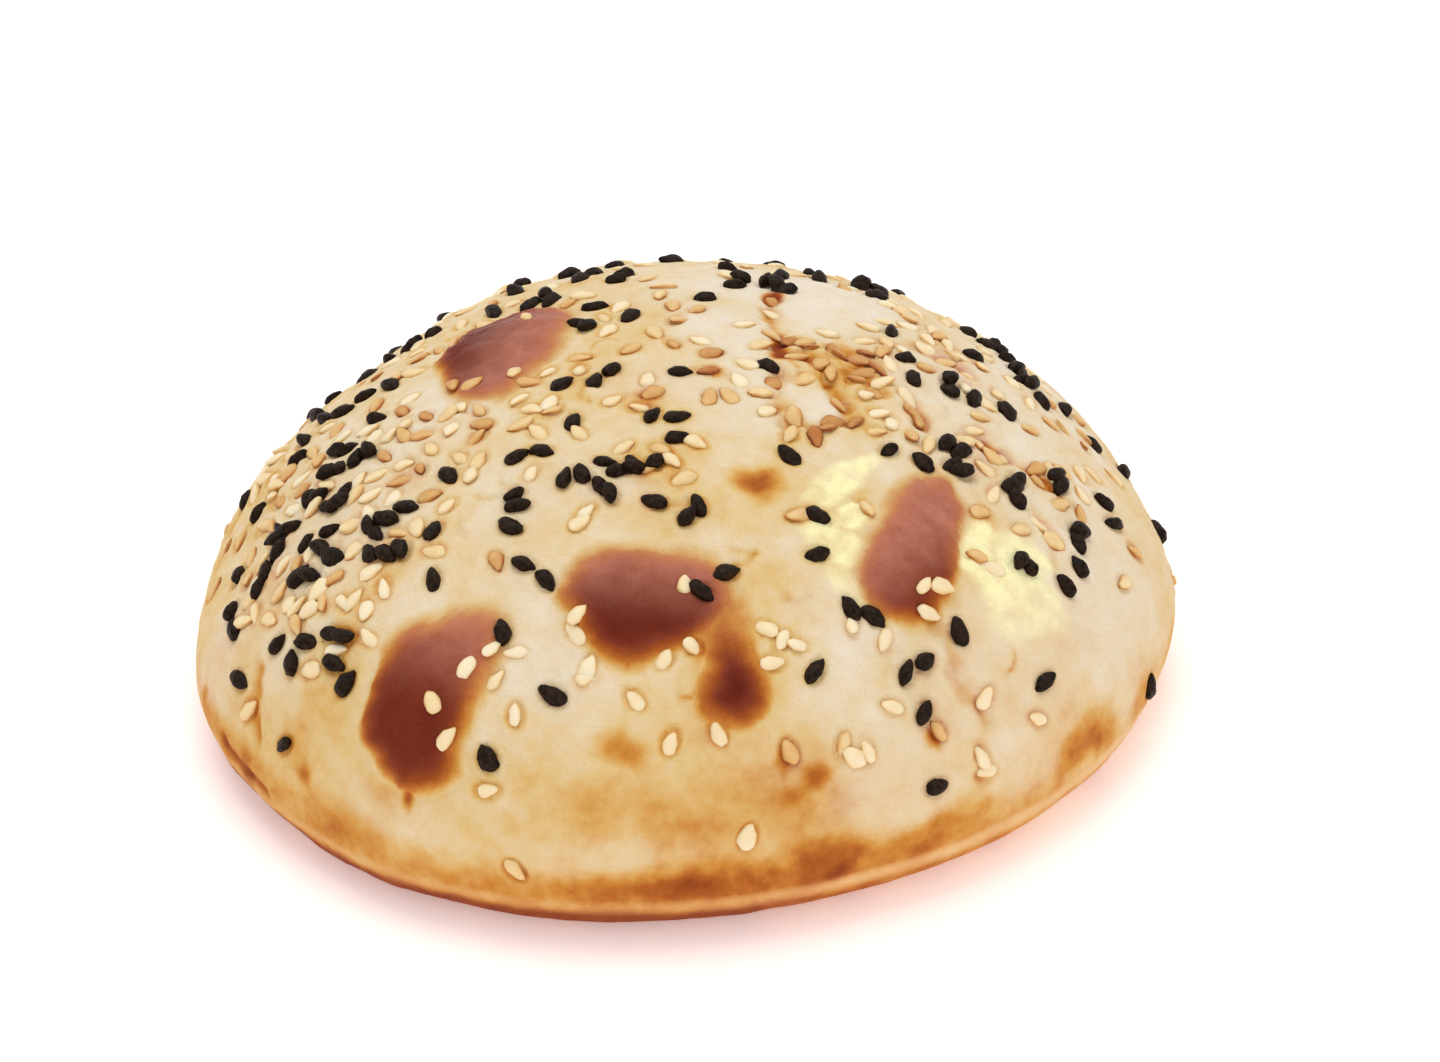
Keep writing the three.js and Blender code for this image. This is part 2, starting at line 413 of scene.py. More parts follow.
scorch = np.zeros(len(plain_points))
painted_sheen = np.zeros(len(plain_points))
blister_skin = np.zeros(len(plain_points))
for name, traits in BLISTER_TRAITS.items():
    depth, height_share = depth_inside(BLISTERS[name])
    depth += 0.7 * middle_hills + 0.3 * small_hills
    skin = ease(depth, -0.5, 0.9)
    lift += traits["height"] * skin - 0.12 * np.exp(-(((depth + 1) / 0.6) ** 2))
    softness = 1 + 0.9 * ease(height_share, 0.1, 0.9)
    orange_rim = ORANGE_BAKE * ease(depth, -1.9 * softness, 0.5 * softness)
    darkest = traits["foot"] + (traits["top"] - traits["foot"]) * ease(height_share, -0.3, 0.7)
    charred = (darkest - ORANGE_BAKE) * ease(depth, -0.6, traits["edge"] + 1.2 * softness)
    scorch = np.maximum(scorch, orange_rim + charred)
    # Painted sheen: mauve on the upper part of each blister, a painted reflection of the light
    # overhead
    rising = ease(height_share, traits["painted_sheen_from"], traits["painted_sheen_from"] + 1.1)
    painted_sheen = np.maximum(painted_sheen, traits["painted_sheen"] * rising * ease(depth, -1.8, 1.0))
    blister_skin = np.maximum(blister_skin, skin)
lift += blister_skin * (0.12 * middle_hills + 0.1 * small_hills)
print("scorched share of the sheet:", round(float((scorch > 0.5).mean()), 3))

# %% [markdown]
# ## The rest of the bake
#
# The crust is pale where the dough was moist, straw-coloured towards the sides and golden
# brown along the rim, which was closest to the hot floor. The rim's brown isn't even round the
# bread, so it is set at a few bearings and runs smoothly between them. Below the rim the dough
# curls under, away from the heat, in a lip that is lighter again, most of all on the right. Last
# comes the brown line of the foot, which is darkest on the left.

# %% Bake the crust
FRECKLES = [
    # bearing, fall, across mm, along mm, bake added
    (263, 62, 5.5, 5, 0.3), (294, 23.5, 7, 6, 0.44), (287, 70, 4, 4, 0.22), (284, 73, 4, 3, 0.12),
    (283, 66, 2, 3.5, 0.14), (262, 32, 12, 3, 0.07), (276, 40, 8, 5, 0.12), (275, 44, 9, 8, 0.22),
    (275, 51, 9, 18, 0.08), (239, 75, 1.6, 4, 0.36), (222, 55, 5, 4, 0.3), (225, 80, 2.5, 4, 0.2),
    (236, 76, 5, 4, 0.12), (229, 86, 16, 8, 0.1), (238, 80, 10, 5, 0.02), (267, 78, 22, 11, 0.07),
    (281, 77, 26, 13, 0.06), (260, 68, 20, 11, 0.1), (303, 69, 2.5, 4, 0.24),
    (302, 31, 9, 7, 0.1), (289, 90, 5, 3, 0.14), (300, 88, 10, 4, 0.04), (268, 88, 16, 3.5, 0.1),
    (326, 83, 13, 8, 0.28), (338, 82, 8, 7, 0.08), (322, 76, 5, 4, 0.1), (203, 84, 2, 4, 0.14),
    (200, 60, 16, 14, 0.06), (292, 40, 16, 11, 0.1), (275, 66, 34, 14, 0.06),
    (222, 68, 14, 18, 0.05), (214, 93, 3, 10, 0.12), (18, 12, 4, 3, 0.3), (30, 14, 2, 5, 0.5),
    (61, 23, 4, 4, 0.3), (10, 19, 13, 12, 0.08), (20, 21, 9, 2.5, 0.2), (350, 17, 7, 8, 0.06),
    (348, 38, 14, 8, 0.12), (351, 47, 9, 7, 0.1), (351, 29, 7, 5, 0.16), (204, 35, 8, 4, 0.16),
    (199, 24, 6, 4, 0.16), (240, 7, 6, 5, 0.22), (350, 4, 4, 3, 0.3), (45, 5, 4, 3, 0.22),
    (182, 21, 8, 4, 0.2), (173, 24, 8, 5, 0.12), (258, 18, 9, 6, 0.1), (311, 20, 12, 6, 0.08),
    (18, 58, 5, 5, 0.12), (100, 62, 16, 14, 0.2), (70, 70, 12, 9, 0.18), (128, 66, 10, 12, 0.2),
    (35, 74, 9, 8, 0.16), (165, 74, 9, 7, 0.16), (85, 40, 12, 10, 0.1),
]  # fmt: skip
RIM_BEARINGS = [200, 212, 225, 236, 247, 262, 275, 290, 305, 318, 333, 345, 370, 400, 470, 540, 560]
RIM_BAKES = [
    0.38, 0.45, 0.36, 0.37, 0.46, 0.48, 0.52, 0.46, 0.42, 0.37, 0.4, 0.36, 0.36, 0.4, 0.46, 0.42,
    0.38,
]  # fmt: skip
CROWN_BAKE = 0.17
MOST_BAKE = 0.7
FRONT, LEFT, RIGHT = 255, 225, 320  # bearings that the side band, the foot and the lip face
RIM_FALLS = 81, 88
LIP_FALLS = 94, 103
FOOT_FALLS = 104, 124

east_first = (sheet_bearing - 200) % 360 + 200
rim_bake = np.interp(east_first, RIM_BEARINGS, RIM_BAKES)
front_facing = np.cos(np.radians(sheet_bearing - FRONT))
side_band = ease(sheet_fall, 44, 80) * (0.6 + 0.4 * front_facing)
rim_wander = sheet_fall + 1.5 * middle_hills + 3 * broad_hills
left_facing = ease(np.cos(np.radians(sheet_bearing - LEFT)), 0.4, 0.9)
right_facing = ease(np.cos(np.radians(sheet_bearing - RIGHT)), 0.5, 0.95)
paler_lip = (0.25 + 0.4 * right_facing) * ease(sheet_fall, *LIP_FALLS)
rim_band = ease(rim_wander, *RIM_FALLS) * (1 - paler_lip)

bake = CROWN_BAKE + 0.08 * side_band + 0.07 * broad_hills + 0.05 * middle_hills
bake += (rim_bake - 0.24) * rim_band
for bearing, fall, across, along, strength in FRECKLES:
    share = spot_share(plain_points, bearing, fall, across, along, uneven=0.2)
    bake += strength * (1 - ease(share, 0.1, 1.3))
foot_line = ease(sheet_fall, *FOOT_FALLS)
bake += (0.18 + 0.17 * left_facing) * foot_line
print("bake:", bake.min().round(2), "to", bake.max().round(2))

# %% [markdown]
# ## Flour, butter with its painted highlight, and blush
#
# Three veils lie over the bake. Flour leaves the folds and the top of a bubble paler. Butter
# brushed on after baking pools in yellow, shiny patches, and their pale, near-white yellow is
# also a painted highlight. And the turned-under crust, which steamed more than it baked, has a
# peach blush.

# %% Lay the veils
BLUSH_FALLS = 93, 104
FLOURED = [
    # bearing, fall, across mm, along mm, share of flour
    (252, 51, 15, 9, 0.75), (244, 40, 12, 10, 0.4), (300, 50, 13, 9, 0.7), (296, 45, 10, 8, 0.6),
    (307, 64, 26, 16, 0.5), (297, 76, 16, 9, 0.5), (318, 70, 26, 22, 0.45),
    (340, 68, 20, 14, 0.4), (236, 80, 8, 6, 0.3), (262, 82, 20, 6, 0.3), (58, 28, 28, 22, 1.0),
    (60, 11, 16, 12, 0.9), (2, 38, 30, 26, 0.7), (340, 63, 30, 26, 0.65), (20, 50, 24, 22, 0.7),
    (200, 44, 26, 24, 0.5), (188, 30, 22, 14, 0.5), (90, 20, 16, 14, 0.4), (340, 17, 6, 6, 0.9),
    (310, 12, 10, 7, 0.6), (262, 4, 12, 8, 0.5), (182, 31, 14, 5, 0.8), (203, 74, 12, 20, 0.5),
    (226, 27, 12, 9, 0.4), (247, 22, 12, 6, 0.5), (330, 9, 16, 10, 0.6), (12, 32, 12, 10, 0.3),
    (345, 58, 12, 10, 0.3), (215, 66, 14, 10, 0.3), (227, 48, 9, 12, 0.35), (95, 45, 22, 16, 0.4),
]  # fmt: skip
BUTTER_AND_HIGHLIGHT_SPOTS = [
    # bearing, fall, across mm, along mm, share of butter and its painted highlight
    (325, 52, 7, 8, 1.0), (326, 48, 8, 7, 1.0), (323, 45, 5, 5, 1.0), (328, 45, 5, 5, 1.0),
    (330, 51, 7, 9, 0.8), (325, 57, 9, 9, 0.6), (316, 27, 9, 4.5, 1.0), (310, 28, 6, 4, 0.8),
    (310, 33, 4, 4, 1.0), (303, 33, 5, 3.5, 1.0), (304, 37, 4, 7, 0.75), (301, 42, 3.5, 8, 0.45),
    (120, 50, 12, 8, 0.5),
]  # fmt: skip


def veil(spots, softness):
    """The strength of a veil at each point, from a list of spots."""
    strength = np.zeros(len(plain_points))
    for bearing, fall, across, along, most in spots:
        share = spot_share(plain_points, bearing, fall, across, along, uneven=0.25)
        strength = np.maximum(strength, most * (1 - ease(share, 1 - softness, 1 + softness)))
    return strength


flour = veil(FLOURED, 0.5) * (0.85 + 0.3 * small_hills)
flour = np.clip(flour + 0.15 * ease(broad_hills, 0.1, 0.6), 0, 1) * (1 - ease(scorch, 0, 0.3))
# Butter patches, whose pale colour also paints in their highlights
butter_and_painted_highlight = veil(BUTTER_AND_HIGHLIGHT_SPOTS, 0.3) * (1 - ease(scorch, 0.1, 0.45))
butter_and_painted_highlight = np.clip(butter_and_painted_highlight * (1 + 0.5 * small_hills), 0, 1)
lift += butter_and_painted_highlight * (0.1 + 0.3 * small_hills)
blush = ease(sheet_fall, *BLUSH_FALLS) * (1 - foot_line) * (0.5 + 0.5 * right_facing)
print("floured and buttered shares:", flour.mean().round(3), butter_and_painted_highlight.mean().round(3))

# %% [markdown]
# ## Creases
#
# The dough was gathered at the top and pinched at the sides, and the folds baked into narrow
# valleys with brown floors and puffed lips. Each crease is a short line of places, with a width
# and a depth.

# %% Press the creases
CREASES = [
    # width mm, depth mm, toast, [bearing, fall] along the line
    (0.9, 0.4, 0.2, [(212, 69), (213, 72), (214, 76), (216, 80)]),
    (0.8, 0.35, 0.18, [(209, 88), (213, 91), (218, 93)]),
    (1.0, 0.4, 0.24, [(61, 22), (52, 17), (40, 15), (33, 13)]),
    (1.0, 0.45, 0.4, [(31, 15), (28, 13), (20, 12)]),
    (1.0, 0.4, 0.2, [(356, 11), (342, 12), (330, 13), (320, 16)]),
    (0.9, 0.5, 0.22, [(355, 17), (350, 19), (344, 20), (336, 21)]),
    (0.9, 0.45, 0.18, [(20, 19), (14, 20), (4, 21), (357, 23)]),
    (0.8, 0.35, 0.22, [(16, 14), (8, 16), (0, 16)]),
    (0.8, 0.35, 0.2, [(12, 17), (6, 19), (358, 19)]),
    (0.9, 0.35, 0.26, [(322, 16), (326, 18), (334, 20)]),
    (1.1, 0.4, 0.14, [(357, 28), (352, 29), (348, 30)]),
    (1.1, 0.35, 0.14, [(24, 31), (20, 34), (16, 37)]),
    (1.1, 0.4, 0.2, [(352, 35), (351, 40), (350, 47), (349, 50)]),
    (1.0, 0.35, 0.16, [(342, 48), (338, 53), (335, 55)]),
    (0.9, 0.35, 0.12, [(309, 60), (310, 65), (311, 70)]),
    (1.0, 0.35, 0.12, [(309, 50), (311, 54), (310, 60)]),
    (0.9, 0.3, 0.12, [(309, 73), (309, 77), (308, 79)]),
    (1.6, 0.35, 0.1, [(170, 66), (176, 70), (182, 75), (186, 80)]),
    (1.4, 0.45, 0.18, [(95, 55), (104, 61), (108, 68), (106, 76)]),
    (1.2, 0.4, 0.18, [(60, 60), (66, 66), (64, 73), (70, 79)]),
]


def line_distance(points, line):
    """Shortest distance, in mm, from each point to a line of places on the crust."""
    stops = dome([place[0] for place in line], [place[1] for place in line])
    nearest = np.full(len(points), np.inf)
    for start, end in zip(stops[:-1], stops[1:]):
        run = end - start
        share = np.clip((points - start) @ run / run.dot(run), 0, 1)
        nearest = np.minimum(nearest, np.linalg.norm(points - start - share[:, None] * run, axis=1))
    return nearest


crease_toast = np.zeros(len(plain_points))
for width, depth, toast, line in CREASES:
    distance = line_distance(plain_points, line) + 0.4 * small_hills
    valley = np.exp(-((distance / width) ** 2))
    lips = np.exp(-(((distance - 2 * width) / width) ** 2))
    lift += depth * (0.45 * lips - valley)
    crease_toast = np.maximum(crease_toast, toast * valley)
bake += crease_toast
print(len(CREASES), "creases, deepest", max(depth for _, depth, _, _ in CREASES), "mm")

# %% [markdown]
# ## Where the seeds lie
#
# Two kinds of seed are strewn on the wet dough: black nigella and pale sesame. The packed
# model has 59 of them, each a closed solid at its own place, and those places are measured
# here. A seed's long axis is the direction in which its points spread most, and its tip is
# the end where they lie closer together.

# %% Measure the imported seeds


def packed_seed(node):
    """A packed seed's middle, in mm, and the direction in which its tip points."""
    points = np.unique([v.co[:] for v in node.data.vertices], axis=0) / MM
    middle = (points.max(axis=0) + points.min(axis=0)) / 2
    spread = points - points.mean(axis=0)
    tip = np.linalg.svd(spread, full_matrices=False)[2][0]
    along = spread @ tip
    girth = np.linalg.norm(spread - along[:, None] * tip, axis=1)
    if girth[along > 0.6].mean() > girth[along < -0.6].mean():
        tip = -tip
    return middle, tip


PACKED_TOAST = 0.15

seeds = {"black": [], "sesame": []}
for name, node in sorted(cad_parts.items()):
    if "seed" not in name:
        continue
    kind = "black" if name.startswith("black") else "sesame"
    middle, tip = packed_seed(node)
    seeds[kind].append(dict(place=place_of(middle), tip=tip, toast=PACKED_TOAST, rise=0.0))
print({kind: len(laid) for kind, laid in seeds.items()})

# %% [markdown]
# ## More seeds, listed
#
# The rest only matter to the eye, so they live in this script. The ones that make the bread's
# own pattern are listed one by one: drifts of black seeds over the left shoulder, pairs that
# cross, toasted sesame round the folds at the top and pale sesame among the front blisters. Turn
# is the tip's direction, anticlockwise from round the bread. Toast runs from 0, cream, to 1, brown.

# %% Strew the listed seeds
MORE_BLACK = [
    # bearing, fall, turn
    (180, 8, 144), (193, 10, 160), (219, 15, 120), (268, 10, 30), (268, 14, 15), (219, 23, 75),
    (234, 32, 350), (244, 19, 15), (247, 23, 330), (250, 20, 40), (246, 38, 340), (221, 37, 100),
    (274, 39, 315), (303, 31, 300), (302, 48, 293), (306, 57, 15), (223, 60, 5), (217, 60, 25),
    (217, 64, 130), (201, 68, 150), (194, 67, 170), (203, 61, 120), (208, 54, 95), (218, 43, 10),
    (213, 42, 0), (210, 42, 155), (212, 37, 35), (205, 47, 80), (207, 49, 5), (203, 51, 120),
    (197, 53, 80), (199, 56, 110), (201, 59, 150), (184, 62, 105), (195, 47, 75), (198, 43, 140),
    (199, 46, 40), (190, 44, 45), (190, 41, 150), (185, 43, 90), (179, 39, 75), (166, 40, 50),
    (166, 45, 105), (169, 48, 80), (168, 52, 45), (163, 57, 60), (173, 54, 20), (179, 53, 95),
    (336, 32, 90), (345, 35, 152), (340, 35, 150), (343, 43, 130), (351, 50, 165),
    (352, 61, 135), (338, 58, 60), (333, 58, 80), (330, 52, 60), (341, 88, 60), (5, 36, 170),
    (17, 28, 90), (8, 28, 20), (31, 30, 130), (5, 41, 30), (24, 41, 60), (20, 48, 100),
    (23, 50, 150), (15, 50, 20), (18, 57, 0), (38, 50, 0), (33, 50, 40), (29, 51, 90),
    (13, 62, 60), (12, 70, 120), (4, 77, 30), (82, 19, 15), (75, 25, 200), (80, 33, 160),
    (68, 33, 100), (61, 25, 40), (63, 39, 120), (56, 42, 200), (55, 46, 20), (50, 39, 0),
    (104, 31, 30), (107, 29, 350), (113, 35, 45), (109, 37, 20), (124, 41, 80), (126, 29, 20),
    (130, 31, 0), (136, 35, 60), (121, 21, 150), (135, 18, 120), (115, 15, 30), (146, 47, 150),
    (142, 45, 170),
]  # fmt: skip
MORE_SESAME = [
    # bearing, fall, toast
    # pale ones among the front blisters
    (254, 45, 0.1), (257, 50, 0.0), (243, 49, 0.0), (241, 52, 0.0), (249, 58, 0.0),
    (246, 49, 0.0), (272, 47, 0.1), (286, 48, 0.1), (288, 49, 0.0), (284, 51, 0.1),
    (298, 48, 0.0), (302, 52, 0.1), (299, 62, 0.1), (310, 50, 0.1), (314, 47, 0.2),
    (284, 65, 0.6), (292, 68, 0.1), (304, 68, 0.6), (291, 66, 0.4), (270, 37, 0.1),
    (312, 66, 0.1), (309, 76, 0.1), (252, 85, 0.4), (239, 58, 0.25),
    # the left shoulder
    (218, 52, 0.1), (222, 47, 0.0), (222, 51, 0.0), (225, 54, 0.1), (222, 58, 0.0),
    (220, 63, 0.2), (213, 77, 0.3), (215, 54, 0.5), (214, 56, 0.1), (210, 58, 0.1),
    (214, 59, 0.5), (190, 34, 0.6), (204, 33, 0.8), (204, 36, 0.7), (213, 34, 0.7),
    (203, 25, 0.6), (189, 28, 0.4), (186, 31, 0.8), (184, 48, 0.6), (180, 50, 0.5),
    (189, 51, 0.7), (187, 56, 0.7), (178, 64, 0.1), (192, 53, 0.0), (193, 46, 0.3),
    (197, 41, 0.1), (203, 40, 0.1), (194, 37, 0.7), (189, 60, 0.4), (186, 67, 0.5),
    (193, 64, 0.5), (206, 51, 0.1), (210, 48, 0.5), (207, 44, 0.3), (212, 46, 0.2),
    (218, 38, 0.2), (216, 40, 0.5), (203, 56, 0.1), (207, 58, 0.4), (213, 53, 0.1),
    (203, 63, 0.4), (198, 64, 0.5), (190, 75, 0.6), (218, 46, 0.1), (209, 62, 0.3),
    (205, 66, 0.2), (183, 72, 0.3), (198, 60, 0.3), (191, 58, 0.5), (182, 57, 0.3),
    # round the top
    (94, 16, 0.5), (93, 12, 0.5), (100, 6, 0.7), (96, 23, 0.3), (45, 5, 0.8),
    (350, 3, 0.95), (300, 7, 0.6), (315, 8, 0.5), (40, 14, 0.5), (31, 15, 0.9),
    (60, 22, 0.8), (22, 19, 0.8), (18, 23, 0.95), (14, 19, 0.8), (5, 21, 0.75),
    (8, 23, 0.85), (357, 23, 0.7), (27, 16, 0.6), (15, 14, 0.55), (8, 16, 0.6),
    (0, 17, 0.6), (22, 16, 0.7), (1, 20, 0.7), (11, 21, 0.8), (335, 20, 0.8),
    (338, 22, 0.85), (355, 14, 0.5), (350, 11, 0.8), (322, 13, 0.1), (327, 16, 0.5),
    (316, 18, 0.4), (323, 20, 0.98), (346, 19, 0.6), (238, 6, 0.7), (239, 9, 0.3),
    (207, 16, 0.5), (207, 20, 0.4), (199, 24, 0.7), (192, 24, 0.5), (178, 25, 0.6),
    (182, 18, 0.6), (214, 19, 0.3), (227, 24, 0.1), (226, 16, 0.3), (247, 16, 0.3),
    (262, 16, 0.5), (260, 19, 0.5), (267, 18, 0.2), (271, 21, 0.4), (277, 15, 0.2),
    (236, 37, 0.7), (247, 27, 0.0), (163, 13, 0.5), (176, 20, 0.3), (143, 24, 0.4),
    (154, 33, 0.5), (110, 9, 0.4), (163, 40, 0.5), (163, 37, 0.3), (180, 35, 0.8),
    (176, 28, 0.7), (147, 45, 0.2), (299, 30, 0.5), (313, 33, 0.4), (330, 20, 0.8),
    # the right shoulder
    (353, 28, 0.7), (358, 27, 0.1), (24, 33, 0.1), (19, 35, 0.5), (28, 35, 0.1),
    (34, 39, 0.1), (15, 37, 0.3), (27, 38, 0.1), (5, 38, 0.2), (0, 37, 0.4),
    (350, 29, 0.7), (349, 35, 0.3), (348, 39, 0.5), (3, 45, 0.5), (9, 50, 0.5),
    (352, 46, 0.7), (353, 48, 0.3), (349, 47, 0.6), (18, 61, 0.6), (13, 60, 0.4),
    (6, 64, 0.3), (355, 50, 0.5), (347, 51, 0.5), (336, 48, 0.4), (339, 53, 0.4),
    (333, 42, 0.5), (1, 57, 0.3), (352, 62, 0.3), (351, 67, 0.6), (344, 67, 0.3),
    (42, 38, 0.3), (324, 46, 0.5), (10, 53, 0.2), (26, 45, 0.3), (344, 39, 0.3),
    (358, 54, 0.2), (30, 56, 0.3), (22, 54, 0.2), (325, 49, 0.1), (358, 82, 0.1),
]  # fmt: skip
print("set by hand:", len(MORE_BLACK), "black seeds and", len(MORE_SESAME), "sesame seeds")

# %% [markdown]
# ## Laying one seed in the list
#
# A seed in the list is a place, a direction for its tip, a toast and a rise. Black seeds are
# laid first. A sesame seed whose middle would fall on another seed's is left out.

# %% Lay them in the list
chance = random.Random(20)
CROSSING_SPACING = 1.2  # mm, so that seeds may cross but not share a place


def lay_seed(kind, bearing, fall, turn=None, toast=0.0, rise=0.0):
    """Adds a seed to the list: its tip anticlockwise from round the bread, its rise in mm."""
    turn = chance.uniform(0, 360) if turn is None else turn + chance.gauss(0, 6)
    around, up, _ = axes_at(bearing, fall)
    lean = np.radians(turn)
    tip = around * np.cos(lean) + up * np.sin(lean)
    seeds[kind].append(dict(place=(bearing, fall), tip=tip, toast=toast, rise=rise))


def is_clear(point, spacing):
    """Whether a point on the crust is at least that far, in mm, from every seed's middle."""
    others = np.array([dome(*seed["place"]) for laid in seeds.values() for seed in laid])
    return np.linalg.norm(others - point, axis=1).min() > spacing


for bearing, fall, turn in MORE_BLACK:
    lay_seed("black", bearing, fall, turn)
for bearing, fall, toast in MORE_SESAME:
    if is_clear(dome(bearing, fall), CROSSING_SPACING):
        lay_seed("sesame", bearing, fall, toast=toast)
print("seeds so far:", {kind: len(laid) for kind, laid in seeds.items()})

# %% [markdown]
# ## Piles
#
# On the shoulders the black seeds fell in pinches, so many have a second one half on top.
# The upper one lies a seed's thickness higher and points another way.

# %% Pile the black seeds
PILES = [
    # bearing from, to, fall from, to, share of seeds with another on top
    (174, 224, 34, 58, 0.5),
    (225, 300, 18, 34, 0.3),
    (330, 425, 16, 56, 0.5),
    (60, 160, 16, 50, 0.3),
]
PILE_OFFSET = (1.5, 2.2)  # mm, between the two seeds' middles
PILE_RISE = 0.35  # mm, added to the upper seed's height
MIDDLING_RADIUS = 56  # mm, near enough to turn an offset into degrees

for bearing_from, bearing_to, fall_from, fall_to, pile_share in PILES:
    for seed in list(seeds["black"]):
        bearing, fall = seed["place"]
        bearing = (bearing - bearing_from) % 360 + bearing_from
        if bearing < bearing_to and fall_from < fall < fall_to and chance.random() < pile_share:
            lean = chance.uniform(0, 2 * np.pi)
            degree_mm = MIDDLING_RADIUS * np.sin(np.radians(fall)) * np.pi / 180
            bearing += chance.uniform(*PILE_OFFSET) * np.cos(lean) / degree_mm
            fall += chance.uniform(*PILE_OFFSET) * np.sin(lean)
            lay_seed("black", bearing, fall, rise=PILE_RISE)
print("black seeds with the piles:", len(seeds["black"]))

# %% [markdown]
# ## And the rest at random
#
# Between them, and all over the back, sesame lies as it fell, and most of it is toasted. Seeds
# are thrown one at a time. One that would lie on another is thrown away. So is one on a
# scorched blister, where the skin was too dry to hold it, or on a smooth bubble that rose
# after the seeds were strewn. The random numbers start from a fixed number, so each run
# throws them the same way.

# %% Strew at random
BARE = [
    # bearing, fall, across mm, along mm
    (56, 27, 20, 15),
    (341, 17, 6, 6),
    (182, 31, 10, 5),
    (318, 27, 16, 8),
    (325, 52, 12, 14),
]
bare = np.zeros(len(plain_points), bool)
for bearing, fall, across, along in BARE:
    bare |= spot_share(plain_points, bearing, fall, across, along) < 1

THROWS = [
    # kind, throws, bearing from, to, fall from, to, least spacing mm
    ("sesame", 60, -30, 235, 4, 30, 2.2),
    ("sesame", 80, 128, 215, 15, 40, 1.8),
    ("sesame", 100, 172, 226, 30, 64, 1.7),
    ("sesame", 100, 335, 420, 16, 42, 1.8),
    ("sesame", 50, 335, 400, 34, 60, 2.0),
    ("sesame", 70, 40, 176, 28, 52, 2.2),
    ("sesame", 44, 40, 176, 50, 80, 2.6),
    ("black", 40, 40, 176, 40, 80, 2.6),
]
TOASTS = [0.0, 0.1, 0.2, 0.35, 0.6]
MOST_SCORCH = 0.2

for kind, throws, bearing_from, bearing_to, fall_from, fall_to, spacing in THROWS:
    for _ in range(throws):
        bearing = chance.uniform(bearing_from, bearing_to)
        fall = chance.uniform(fall_from, fall_to)
        point = dome(bearing, fall)
        nearest = np.linalg.norm(plain_points - point, axis=1).argmin()
        if is_clear(point, spacing) and scorch[nearest] < MOST_SCORCH and not bare[nearest]:
            lay_seed(kind, bearing, fall, toast=chance.choice(TOASTS))
print("seeds in all:", {kind: len(laid) for kind, laid in seeds.items()})

# %% [markdown]
# ## Beds for the seeds
#
# Seeds are pressed into soft dough, and the dough rises a little round them as it bakes. So
# each seed gets a shallow dent with a low collar. A ring of painted shade beside each seed makes
# the crust a little browner there.

# %% Bed the seeds
SEED_LENGTH = 3.0
SEED_WIDTH = 2.0
COLLAR = 0.16  # mm, the dough raised round a seed
DENT = 0.12  # mm, the dough pressed in under it

seed_shade = np.zeros(len(plain_points))


def seed_frame(bearing, fall, tip):
    """Distances along and across a seed from its middle, in half lengths and half widths."""
    out = axes_at(bearing, fall)[2]
    offset = plain_points - dome(bearing, fall)
    x = offset @ tip / (SEED_LENGTH / 2)
    y = offset @ np.cross(out, tip) / (SEED_WIDTH / 2)
    return x, y, offset @ out


for seed in seeds["black"] + seeds["sesame"]:
    x, y, height = seed_frame(*seed["place"], seed["tip"])
    share = np.hypot(np.hypot(x, y), height / 2)
    lift += COLLAR * np.exp(-(((share - 1.5) / 0.4) ** 2)) - DENT * np.exp(-(share**2))
    # Painted shade: a ring just outside the seed's outline
    seed_shade = np.maximum(seed_shade, np.exp(-(((share - 0.95) / 0.3) ** 2)))
print("beds:", sum(len(laid) for laid in seeds.values()))

# %% [markdown]
# ## Covered seeds
#
# A covered seed is only a bump in the skin. A browner crescent on its lower side is painted
# shadow under the bump. None shows on a blister.

# %% Cover a few seeds
BUMP = 0.45  # mm, the skin over a covered seed
COVERED_SEEDS = 60
COVERED_SPACING = 2.0  # mm, least distance to another seed
COVERED_BY_HAND = [(283, 34), (291, 41), (304, 66), (317, 62), (268, 24), (226, 34), (197, 33)]

# A third of the rest may lie anywhere, a third on the left shoulder and a third on the right
covered = list(COVERED_BY_HAND)
while len(covered) < COVERED_SEEDS:
    anywhere, left, right = [chance.uniform(*b) for b in ((0, 360), (170, 235), (320, 400))]
    covered.append((chance.choice([anywhere, left, right]), chance.uniform(8, 56)))
for bearing, fall in covered:
    if not is_clear(dome(bearing, fall), COVERED_SPACING):
        continue
    around, up, out = axes_at(bearing, fall)
    lean = chance.uniform(-0.6, 0.6)
    along = around * np.cos(lean) + up * np.sin(lean)
    x, y, height = seed_frame(bearing, fall, along)
    share = np.hypot(np.hypot(x, y), height / 2)
    lift += BUMP * (1 - ease(share, 0.5, 1.3)) * (1 - blister_skin)
    # Painted shadow: a browner crescent along the lower side of the bump
    painted_shadow_crescent = np.exp(-(((share - 1.15) / 0.3) ** 2)) * ease(-y, 0, 0.9)
    bake += chance.uniform(0.08, 0.2) * painted_shadow_crescent * (1 - blister_skin)

# Flour only shows where it lies on pale crust
bake = np.minimum(bake, MOST_BAKE)
flour = flour * (1 - ease(bake, 0.3, 0.42))
print("lift, mm:", lift.min().round(2), "to", lift.max().round(2))

# %% [markdown]
# ## The crust
#
# The sheet is pushed out along its directions. Each square is split along its shorter
# diagonal, which keeps fine detail clean where the squares are skewed. Near the foot the
# changes fade to nothing, so the bread still stands on the same edge. One mesh with about
# half-millimetre faces can carry the shapes in real geometry. Bumps in the material are left
# for what is finer.

# %% Push out the crust
FADE_FALLS = 140, 172

foot_fade = 1 - ease(sheet_fall, *FADE_FALLS)
crust_points = crust_points + sheet_out * (lift * foot_fade)[:, None]
crust_points[:, 2] = np.maximum(crust_points[:, 2], 0)

